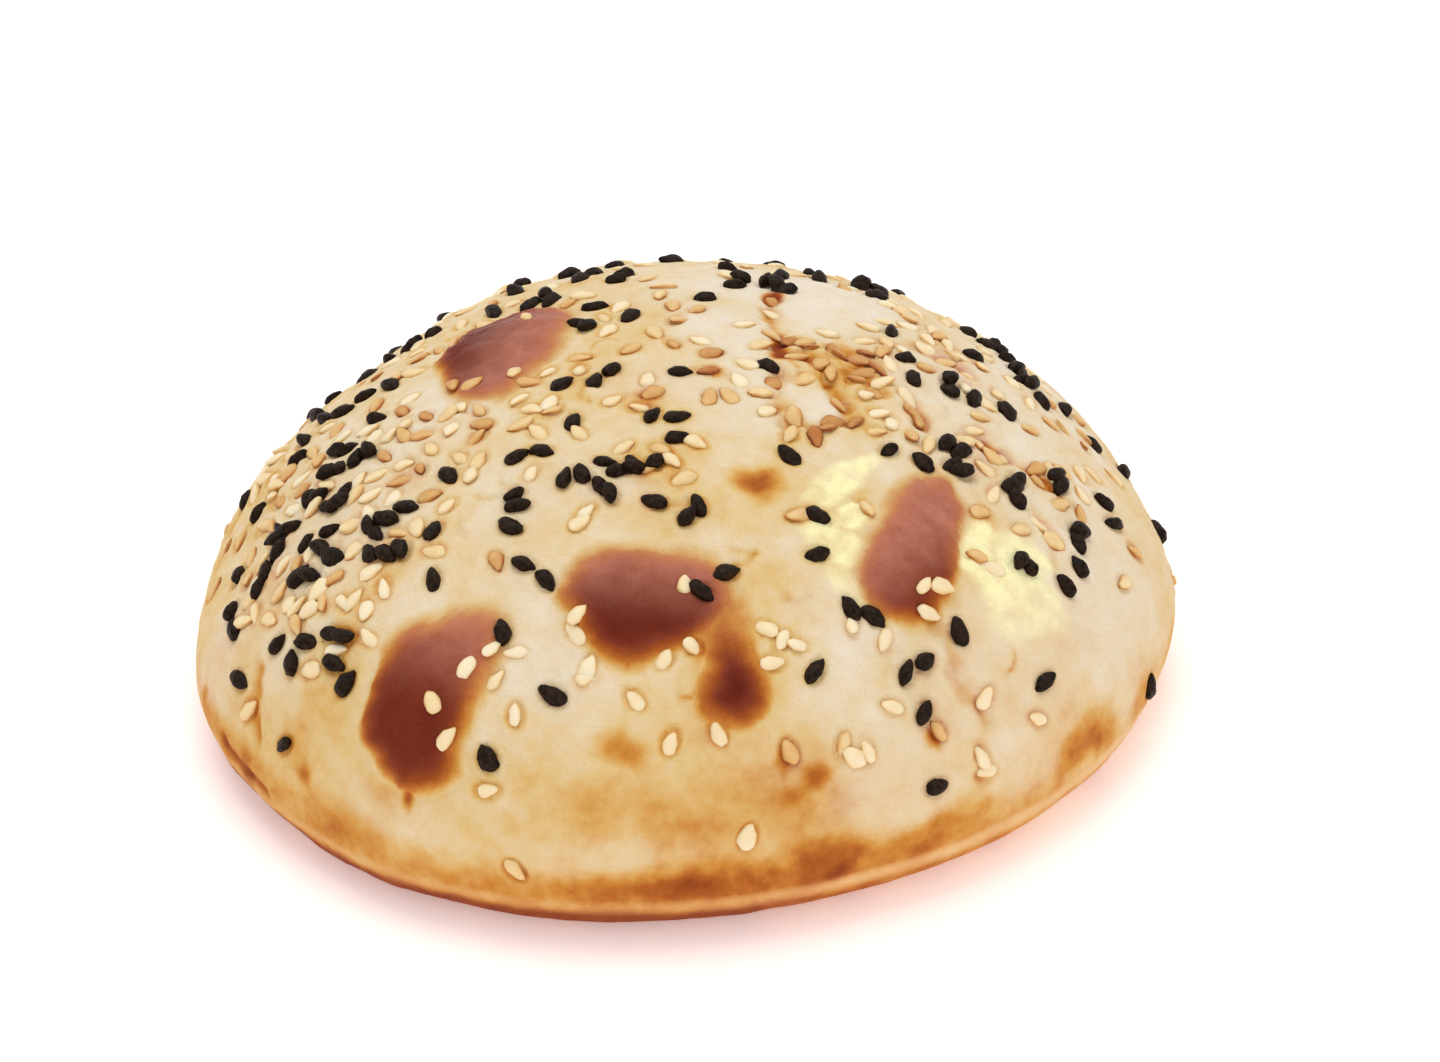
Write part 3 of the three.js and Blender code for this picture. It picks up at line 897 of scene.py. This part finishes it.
index = np.arange(len(crust_points)).reshape(sheet_x.shape)
corners = [index[:-1, :-1], index[:-1, 1:], index[1:, 1:], index[1:, :-1]]
quads = np.stack(corners, axis=-1).reshape(-1, 4)
square = plain_points[quads]
first_diagonal = np.linalg.norm(square[:, 0] - square[:, 2], axis=1)
second_diagonal = np.linalg.norm(square[:, 1] - square[:, 3], axis=1)
first_shorter = first_diagonal <= second_diagonal
HALVES = [
    (first_shorter, [0, 1, 2]),
    (first_shorter, [0, 2, 3]),
    (~first_shorter, [0, 1, 3]),
    (~first_shorter, [1, 2, 3]),
]
faces = []
for chosen, half in HALVES:
    faces += quads[chosen][:, half].tolist()
border = np.concatenate([index[0, :-1], index[:-1, -1], index[-1, :0:-1], index[:0:-1, 0]])
crust_points[border, 2] = 0
print("upper crust:", len(faces), "faces")

# %% [markdown]
# ## The base
#
# The base is flat and never seen, but an open shell would have no weight and would leak light.
# Rings of faces run in from the border to one point in the middle and close it.

# %% Close the base
BASE_RINGS = [0.985, 0.93, 0.8, 0.58, 0.3]  # shares of the way from the middle to the edge

base_points = []
ring = border
base_middle = np.array([axis_x, axis_y, 0])
for share in BASE_RINGS:
    inner = len(crust_points) + len(base_points) + np.arange(len(border))
    base_points += list(base_middle + (crust_points[border] - base_middle) * share)
    turned = np.roll(ring, -1), np.roll(inner, -1)
    faces += np.stack([turned[0], ring, inner, turned[1]], axis=-1).tolist()
    ring = inner
middle_index = len(crust_points) + len(base_points)
base_points.append(base_middle)
faces += [[after, before, middle_index] for before, after in zip(ring, np.roll(ring, -1))]
print("crust with its base:", len(faces), "faces")

# %% [markdown]
# ## One piece with its numbers
#
# A mesh can store a number at each of its points. The crust keeps its bake, its scorch and the
# rest there, and its material reads them, so shape and colour always lie in the same place.

# %% Make the crust


def new_piece(name, points, faces, **shares):
    """A smooth-shaded mesh object from points in mm, with one number per point for each share."""
    mesh = bpy.data.meshes.new(name)
    mesh.from_pydata((np.asarray(points) * MM).tolist(), [], faces)
    mesh.polygons.foreach_set("use_smooth", [True] * len(mesh.polygons))
    for share_name, values in shares.items():
        store = mesh.attributes.new(share_name, "FLOAT", "POINT")
        store.data.foreach_set("value", np.asarray(values, np.float32))
    mesh.validate()
    mesh.update()
    piece = bpy.data.objects.new(name, mesh)
    bpy.context.scene.collection.objects.link(piece)
    return piece


def with_base(values, base_value):
    """A value for each crust point, with one value for all the points of the base."""
    return np.concatenate([values, np.full(len(base_points), base_value)])


CRUST_SHARES = {
    # name: values on the sheet, value on the base
    "bake": (bake, 0.5),
    "scorch": (scorch, 0),
    "painted_sheen": (painted_sheen, 0),
    "flour": (flour, 0.2),
    "butter_and_painted_highlight": (butter_and_painted_highlight, 0),
    "blush": (blush, 0),
    "seed_shade": (seed_shade, 0),
}
whole_shares = {name: with_base(*values) for name, values in CRUST_SHARES.items()}
crust = new_piece("crust", np.concatenate([crust_points, base_points]), faces, **whole_shares)
crust_tree = BVHTree.FromObject(crust, bpy.context.evaluated_depsgraph_get())
print("stored on the crust:", list(CRUST_SHARES))

# %% [markdown]
# ## The shape of a seed
#
# Both seeds are drops: round at one end and pointed at the other. Sesame is flat, with a faint
# ridge round its edge. Nigella is plumper and three-sided. A drop is a stack of oval rings
# whose width follows one curve, which is simple to write and gives an even mesh. Each seed gets
# its own length, bend and colour from the same random numbers, so no two are alike.

# %% Shape the seeds
SEED_ROWS = 12
SEED_SIDES = 14


def drop(length, width, thickness, point, sides, flatness):
    """Rings of points of one seed lying along X, its tip at +X, and how near its edge each is."""
    step = np.linspace(0, np.pi, SEED_ROWS + 1)[:, None]
    angle = np.linspace(0, 2 * np.pi, SEED_SIDES, endpoint=False)[None, :]
    girth = np.sin(step) * np.cos(step / 2) ** point
    girth = girth / girth.max()
    corner = 1 + sides * np.cos(3 * angle)
    x = -np.cos(step) * length / 2 + 0 * angle
    y = girth * np.cos(angle) * corner * width / 2
    z = girth**0.8 * np.sin(angle) * corner * thickness / 2
    z = z * (1 - flatness * (1 - np.cos(angle) ** 2))
    edge = np.abs(np.cos(angle)) ** 5 * (0.4 + 0.6 * ease(step, 0.9, 2.6))
    edge = np.maximum(edge, ease(step, 2.3, 3.0) + 0 * angle)
    return np.stack([x, y, z], axis=-1).reshape(-1, 3), edge.ravel()


row = np.arange(SEED_ROWS)[:, None] * SEED_SIDES
column = np.arange(SEED_SIDES)[None, :]
next_column = (column + 1) % SEED_SIDES
seed_corners = [
    row + column,
    row + SEED_SIDES + column,
    row + SEED_SIDES + next_column,
    row + next_column,
]
seed_faces = np.stack(seed_corners, axis=-1).reshape(-1, 4)

# %% [markdown]
# ## Laying the seeds
#
# A seed lies where a line from the bread's middle meets the finished crust. It takes the
# crust's own slope there, with a small random tilt, and sinks by a third of its thickness.

# %% Lay the seeds
SEED_KINDS = {
    "black": dict(length=3.15, width=1.9, thickness=1.6, point=0.4, sides=0.1, flatness=0.0),
    "sesame": dict(length=2.95, width=1.85, thickness=0.9, point=0.6, sides=0.0, flatness=0.12),
}
WRINKLE = 0.2  # how far a lump stands out, as a share of a seed's size
WRINKLES_PER_MM = 1.2
UNEVEN_TILT = 0.09
SIZES = 0.86, 1.14  # of one seed against the usual size
WIDTHS = 0.8, 1.1
THICKNESSES = 0.9, 1.15
RISES = 0.08, 0.24  # of its middle above the crust, as a share of its thickness
SAME_PLACE = 0.002  # mm, for joining the ring of points at each end of a seed


def lay(kind):
    """One joined piece of all the seeds of a kind, with each seed's toast and edge shares."""
    all_points, all_faces, toasts, edges = [], [], [], []
    for number, seed in enumerate(seeds[kind]):
        size = chance.uniform(*SIZES)
        points, edge = drop(**SEED_KINDS[kind])
        points = points * [size, size * chance.uniform(*WIDTHS), chance.uniform(*THICKNESSES)]
        points[:, 2] += chance.uniform(-0.05, 0.03) * points[:, 0] ** 2
        points[:, 1] += chance.uniform(-0.04, 0.04) * points[:, 0] ** 2
        wrinkle = [noise.noise(Vector(p * WRINKLES_PER_MM + number * 7)) for p in points]
        points += points * np.array(wrinkle)[:, None] * WRINKLE
        landed = land(crust_tree, dome(*seed["place"])[None])[0]
        slope = crust_tree.find_nearest(Vector(landed) * MM)[1]
        out = np.array(slope) + [chance.gauss(0, UNEVEN_TILT) for _ in range(3)]
        out /= np.linalg.norm(out)
        along = seed["tip"] - out * out.dot(seed["tip"])
        along /= np.linalg.norm(along)
        side_axis = np.cross(out, along)
        rise = SEED_KINDS[kind]["thickness"] * chance.uniform(*RISES)
        laid = points @ np.stack([along, side_axis, out]) + landed + out * (rise + seed["rise"])
        all_faces += (seed_faces + len(all_points)).tolist()
        all_points += laid.tolist()
        toasts += [seed["toast"]] * len(points)
        edges += edge.tolist()
    return new_piece(f"{kind}_seeds", all_points, all_faces, toast=toasts, edge=edges)


seed_pieces = {kind: lay(kind) for kind in seeds}
for piece in seed_pieces.values():
    joined = bmesh.new()
    joined.from_mesh(piece.data)
    bmesh.ops.remove_doubles(joined, verts=joined.verts, dist=SAME_PLACE * MM)
    bmesh.ops.recalc_face_normals(joined, faces=joined.faces)
    joined.to_mesh(piece.data)
    joined.free()
    print(piece.name, len(piece.data.polygons), "faces")

# %% [markdown]
# ## Colours and nodes
#
# Colours are written as sRGB hex values, as a paint shop gives them, and one function turns
# them to the linear values that Blender mixes. A second function adds a node with its settings
# and links. What is the same all over a surface is set on the main shader's own sockets, when
# the material starts. A noise is set by the width of its patches in millimetres.

# %% Material helpers


def linear(hex_colour):
    """An sRGB hex colour as the linear values that Blender mixes, with full alpha."""
    parts = [int(hex_colour[i : i + 2], 16) / 255 for i in (1, 3, 5)]
    return [p / 12.92 if p <= 0.04045 else ((p + 0.055) / 1.055) ** 2.4 for p in parts] + [1]


def add(tree, kind, settings=None, links=None, stops=()):
    """Adds a node. Settings fill its sockets or options, links join its sockets, and stops
    are a ramp's colours, each with its position."""
    node = tree.nodes.new("ShaderNode" + kind)
    for name, value in (settings or {}).items():
        if isinstance(name, int) or name in node.inputs:
            node.inputs[name].default_value = value
        else:
            setattr(node, name, value)
    for name, source in (links or {}).items():
        tree.links.new(source, node.inputs[name])
    for number, (position, hex_colour) in enumerate(stops):
        if number >= len(node.color_ramp.elements):
            node.color_ramp.elements.new(position)
        node.color_ramp.elements[number].position = position
        node.color_ramp.elements[number].color = linear(hex_colour)
    return node


def start_material(name, sockets):
    """A new material with its node tree and its main shader, whose sockets are filled."""
    material = bpy.data.materials.new(name)
    material.use_nodes = True
    tree = material.node_tree
    shader = next(node for node in tree.nodes if node.type == "BSDF_PRINCIPLED")
    for socket, value in sockets.items():
        shader.inputs[socket].default_value = value
    return material, tree, shader


def per_metre(width):
    """The noise scale that gives patches this many millimetres wide."""
    return 1 / (width * MM)


# %% [markdown]
# ## Baked crust
#
# Baked wheat dough is matt and slightly translucent: light goes a millimetre or so into the
# pale crumb and comes out warmer. Its colour is the Maillard browning, from cream through
# straw and gold to red-brown, so one ramp over the bake number gives every colour on the crust.
# The numbers stored on the mesh are read first, and then soft noise in several sizes, since
# dough browns in patches and specks.

# %% Start the crust material
CRUST_SOCKETS = {
    "Specular IOR Level": 0.14,
    "Subsurface Weight": 0.12,
    "Subsurface Radius": (1.0, 0.55, 0.3),
    "Subsurface Scale": 1.6 * MM,
}
baked_crust, tree, crust_shader = start_material("baked_wheat_crust", CRUST_SOCKETS)
place = add(tree, "TexCoord").outputs["Object"]

stored = {}
for share_name in CRUST_SHARES:
    reader = add(tree, "Attribute", {"attribute_name": share_name})
    stored[share_name] = reader.outputs["Fac"]

GRAINS = [
    # name, width of a patch in mm, finer octaves, lowest, highest
    ("patches", 9, 3, -0.1, 0.1),
    ("specks", 1.6, 4, -0.04, 0.04),
    ("freckles", 3.5, 3, -0.055, 0.055),
    ("flecks", 2.4, 2, 0.35, 1.5),
    ("clouds", 2.6, 4, 0.55, 1.3),
    ("pores", 0.5, 3, -0.5, 0.5),
    ("puckers", 1.4, 4, -0.8, 0.8),
]
grain = {}
for name, width, octaves, lowest, highest in GRAINS:
    look = {"Scale": per_metre(width), "Detail": octaves, "Roughness": 0.6}
    texture = add(tree, "TexNoise", look, {"Vector": place})
    span = {"From Min": 0.25, "From Max": 0.75, "To Min": lowest, "To Max": highest}
    spread = add(tree, "MapRange", span, {"Value": texture.outputs["Fac"]})
    grain[name] = spread.outputs["Result"]
print("crust noises:", len(grain))

# %% [markdown]
# ## How baked each point is
#
# The sheet's bake, the painted shade beside the seeds and the noise are added up. A blister's
# scorch is separate, and the browner of the two wins, so a blister's edge blends into the crust
# round it.

# %% Add up the bake
SEED_SHADE_BAKE = 0.18
BAKE_COLOURS = [
    (0.0, "#E9DAC3"),
    (0.14, "#E1CAA2"),
    (0.26, "#DCBC80"),
    (0.36, "#D6A75E"),
    (0.46, "#C98836"),
    (0.56, "#B0611F"),
    (0.66, "#94450F"),
    (0.78, "#7D3014"),
    (0.9, "#6C2008"),
    (1.0, "#5E1401"),
]

# Painted shade beside the seeds is added to the bake
seed_shaded = {"operation": "MULTIPLY_ADD", 1: SEED_SHADE_BAKE}
total = add(tree, "Math", seed_shaded, {0: stored["seed_shade"], 2: stored["bake"]})
for name in ("patches", "specks", "freckles"):
    total = add(tree, "Math", {"operation": "ADD"}, {0: total.outputs[0], 1: grain[name]})
speckled = {0: stored["scorch"], 1: grain["specks"]}
rough_scorch = add(tree, "Math", {"operation": "ADD"}, speckled)
either = {0: total.outputs[0], 1: rough_scorch.outputs[0]}
browner = add(tree, "Math", {"operation": "MAXIMUM"}, either)
ramp = add(tree, "ValToRGB", links={"Fac": browner.outputs[0]}, stops=BAKE_COLOURS)

# %% [markdown]
# ## The veils
#
# Over the bake lie four veils, each a flat colour mixed in by its own stored number: the mauve
# painted sheen on a scorched blister, which is a painted reflection, flour, butter with its
# painted highlight, and the blush of the turned-under crust. Soft clouds break up the painted
# sheen, and fine flecks break up the butter and its painted highlight, because the butter set
# in small drops.

# %% Lay the veils over the bake
VEILS = [
    # stored share, most, colour, broken by
    # painted sheen: a mauve painted reflection on the blister tops
    ("painted_sheen", 0.78, "#BC7660", "clouds"),
    ("flour", 0.7, "#E8DFD1", None),
    # butter, its pale yellow also a painted highlight
    ("butter_and_painted_highlight", 1.0, "#F8EFB8", "flecks"),
    ("blush", 0.4, "#E4B488", None),
]
MULTIPLY = {"operation": "MULTIPLY", "use_clamp": True}

colour = ramp.outputs["Color"]
for share_name, most, hex_colour, broken_by in VEILS:
    strength = add(tree, "Math", MULTIPLY | {1: most}, {0: stored[share_name]})
    if broken_by:
        strength = add(tree, "Math", MULTIPLY, {0: strength.outputs[0], 1: grain[broken_by]})
    veil_colour = {"data_type": "RGBA", 7: linear(hex_colour)}
    veiled = add(tree, "Mix", veil_colour, {0: strength.outputs[0], 6: colour})
    colour = veiled.outputs[2]
tree.links.new(colour, crust_shader.inputs["Base Color"])

# %% [markdown]
# ## Sheen and pores
#
# Dry crust is rough. Butter and the glassy skin of a blister are smoother and catch a soft
# highlight. Pores half a millimetre wide and puckers of about one and a half are too fine for
# the mesh, so a bump makes them.

# %% Finish the crust
DRY_ROUGHNESS = 0.68
GLASSY_ROUGHNESS = 0.42
FINE_BUMP = {"Strength": 0.8, "Distance": 0.12 * MM}

smoother = {0: stored["butter_and_painted_highlight"], 1: stored["scorch"]}
sheen = add(tree, "Math", {"operation": "MAXIMUM"}, smoother)
dry_to_glassy = {"To Min": DRY_ROUGHNESS, "To Max": GLASSY_ROUGHNESS}
roughness = add(tree, "MapRange", dry_to_glassy, {"Value": sheen.outputs[0]})
tree.links.new(roughness.outputs["Result"], crust_shader.inputs["Roughness"])
fine = {0: grain["pores"], 1: grain["puckers"]}
relief_height = add(tree, "Math", {"operation": "ADD"}, fine)
relief = add(tree, "Bump", FINE_BUMP, {"Height": relief_height.outputs[0]})
tree.links.new(relief.outputs["Normal"], crust_shader.inputs["Normal"])
crust.data.materials.append(baked_crust)
print("crust nodes:", len(tree.nodes))

# %% [markdown]
# ## Nigella hull
#
# Nigella seed is jet black with a dull, wrinkled hull. Its faint brown glints are painted
# highlights: a paler brown on the tops of the wrinkles, which are about half a millimetre apart.

# %% Make the nigella hull
HULL_FOLD = 0.5  # mm
# Black, and a paler brown on the wrinkle tops as a painted glint
HULL_AND_GLINT_COLOURS = [(0.35, "#120903"), (0.8, "#38261A")]

hull_sockets = {"Roughness": 0.5, "Specular IOR Level": 0.1}
black_hull, tree, shader = start_material("nigella_hull", hull_sockets)
place = add(tree, "TexCoord").outputs["Object"]
folds = add(tree, "TexNoise", {"Scale": per_metre(HULL_FOLD), "Detail": 3.0}, {"Vector": place})
ramp = add(tree, "ValToRGB", links={"Fac": folds.outputs["Fac"]}, stops=HULL_AND_GLINT_COLOURS)
tree.links.new(ramp.outputs["Color"], shader.inputs["Base Color"])
wrinkles = add(tree, "Bump", FINE_BUMP, {"Height": folds.outputs["Fac"]})
tree.links.new(wrinkles.outputs["Normal"], shader.inputs["Normal"])
seed_pieces["black"].data.materials.append(black_hull)
print("nigella hull nodes:", len(tree.nodes))

# %% [markdown]
# ## Sesame hull
#
# Sesame is cream and faintly oily. It browns first along its edge and at its tip, where it is
# thinnest, and each seed has its own toast.

# %% Make the sesame hull
MOTTLE = 1.2  # mm
TOAST_BAKE = 0.7
PALEST = -0.12  # below 0, so that an untoasted seed stays cream under its mottle
EDGE_BAKE = 0.5
MOTTLE_BAKE = 0.25
SESAME_COLOURS = [
    (0.0, "#F0E0BF"),
    (0.22, "#E9CF9C"),
    (0.45, "#D8AB6A"),
    (0.7, "#B46E30"),
    (1.0, "#763A14"),
]
SESAME_SOCKETS = {
    "Roughness": 0.48,
    "Specular IOR Level": 0.25,
    "Subsurface Weight": 0.15,
    "Subsurface Radius": (1.0, 0.6, 0.3),
    "Subsurface Scale": 0.5 * MM,
}
sesame_hull, tree, shader = start_material("sesame_hull", SESAME_SOCKETS)
place = add(tree, "TexCoord").outputs["Object"]
toast_share = add(tree, "Attribute", {"attribute_name": "toast"}).outputs["Fac"]
edge_share = add(tree, "Attribute", {"attribute_name": "edge"}).outputs["Fac"]
mottle = add(tree, "TexNoise", {"Scale": per_metre(MOTTLE), "Detail": 3.0}, {"Vector": place})
toasting = {"operation": "MULTIPLY_ADD", 1: TOAST_BAKE, 2: PALEST}
brown = add(tree, "Math", toasting, {0: toast_share})
for most, source in ((EDGE_BAKE, edge_share), (MOTTLE_BAKE, mottle.outputs["Fac"])):
    added = {"operation": "MULTIPLY_ADD", 1: most}
    brown = add(tree, "Math", added, {0: source, 2: brown.outputs[0]})
ramp = add(tree, "ValToRGB", links={"Fac": brown.outputs[0]}, stops=SESAME_COLOURS)
tree.links.new(ramp.outputs["Color"], shader.inputs["Base Color"])
seed_pieces["sesame"].data.materials.append(sesame_hull)
print("sesame hull nodes:", len(tree.nodes))

# %% [markdown]
# ## Who stands for what
#
# Each fine piece rides on the bread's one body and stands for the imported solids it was
# measured from.

# %% Join the frame
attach(crust, "root")
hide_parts("bread")
for kind, piece in seed_pieces.items():
    packed = [name for name in sorted(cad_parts) if name.startswith(f"{kind}_seed")]
    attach(piece, "root")
    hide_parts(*packed)
    print(piece.name, "stands for", len(packed), "packed seeds")

# %% [markdown]
# ## The table
#
# The bread lies on a product table: a sheet of opal white acrylic, matt on top and faintly lit
# from below, which keeps the shadow down to a soft warm line.

# %% Set the table
FLOOR_SIZE = 6.0  # m
BELOW_THE_FOOT = 0.02  # mm, so that the floor and the bread's base don't share a plane
ACRYLIC_SOCKETS = {
    "Base Color": linear("#FAFAFA"),
    "Emission Color": linear("#FFD9CF"),
    "Emission Strength": 0.32,
    "Roughness": 0.9,
    "Specular IOR Level": 0.1,
}
floor_place = (0, 0, -BELOW_THE_FOOT * MM)
bpy.ops.mesh.primitive_plane_add(size=FLOOR_SIZE, location=floor_place)
table = bpy.context.object
table.name = "white_table"
table.data.materials.append(start_material("opal_white_acrylic", ACRYLIC_SOCKETS)[0])
print("table:", FLOOR_SIZE, "m wide")

# %% [markdown]
# ## Soft light
#
# A wide soft light overhead and a little behind gives the blisters their sheen, a second fills
# the near side, and a white world takes care of the rest.

# %% Set the lights
AIM_HEIGHT = 15  # mm, near the middle of the bread's height
SOFT_LIGHTS = [
    # name, place in metres, size in metres, power in watts
    ("overhead_softbox", (-0.12, 0.3, 1.0), 0.8, 4.4),
    ("front_fill", (0.4, -0.9, 0.5), 0.9, 2.2),
]
WORLD_STRENGTH = 0.74

aim = Vector((axis_x, axis_y, AIM_HEIGHT)) * MM
for name, light_place, size, power in SOFT_LIGHTS:
    lamp = bpy.data.lights.new(name, "AREA")
    lamp.size = size
    lamp.energy = power
    light = bpy.data.objects.new(name, lamp)
    light.location = light_place
    light.rotation_euler = (aim - light.location).to_track_quat("-Z", "Y").to_euler()
    bpy.context.scene.collection.objects.link(light)

world = bpy.data.worlds.new("white_room")
world.use_nodes = True
room = next(node for node in world.node_tree.nodes if node.type == "BACKGROUND")
room.inputs["Color"].default_value = linear("#FFFFFF")
room.inputs["Strength"].default_value = WORLD_STRENGTH
bpy.context.scene.world = world
bpy.context.scene.view_settings.view_transform = "Standard"
print("lights:", [name for name, *_ in SOFT_LIGHTS])

# %% [markdown]
# ## The camera
#
# A long lens from half a metre away, 34 degrees above the table, keeps the bread's outline
# close to its true shape. The bread sits a little left of the middle and below it.

# %% Place the camera
CAMERA_ELEVATION = 34  # degrees
CAMERA_DISTANCE = 500  # mm
LENS = 106.4  # mm
SENSOR_WIDTH = 36  # mm
RIGHT_OF_AXIS = 4.44  # mm
ABOVE_AXIS = 1.81  # mm

tilt = np.radians(CAMERA_ELEVATION)
sight_up = Vector((0, np.sin(tilt), np.cos(tilt)))
camera_aim = Vector((axis_x + RIGHT_OF_AXIS, axis_y, AIM_HEIGHT)) + ABOVE_AXIS * sight_up
camera_place = camera_aim + Vector((0, -np.cos(tilt), np.sin(tilt))) * CAMERA_DISTANCE
lens = bpy.data.cameras.new("long_lens")
lens.lens = LENS
lens.sensor_width = SENSOR_WIDTH
lens.clip_start = 0.01
camera = bpy.data.objects.new("long_lens", lens)
camera.location = camera_place * MM
camera.rotation_euler = (camera_aim - camera_place).to_track_quat("-Z", "Y").to_euler()
bpy.context.scene.collection.objects.link(camera)
bpy.context.scene.camera = camera
print("camera, mm:", [round(c, 1) for c in camera_place])
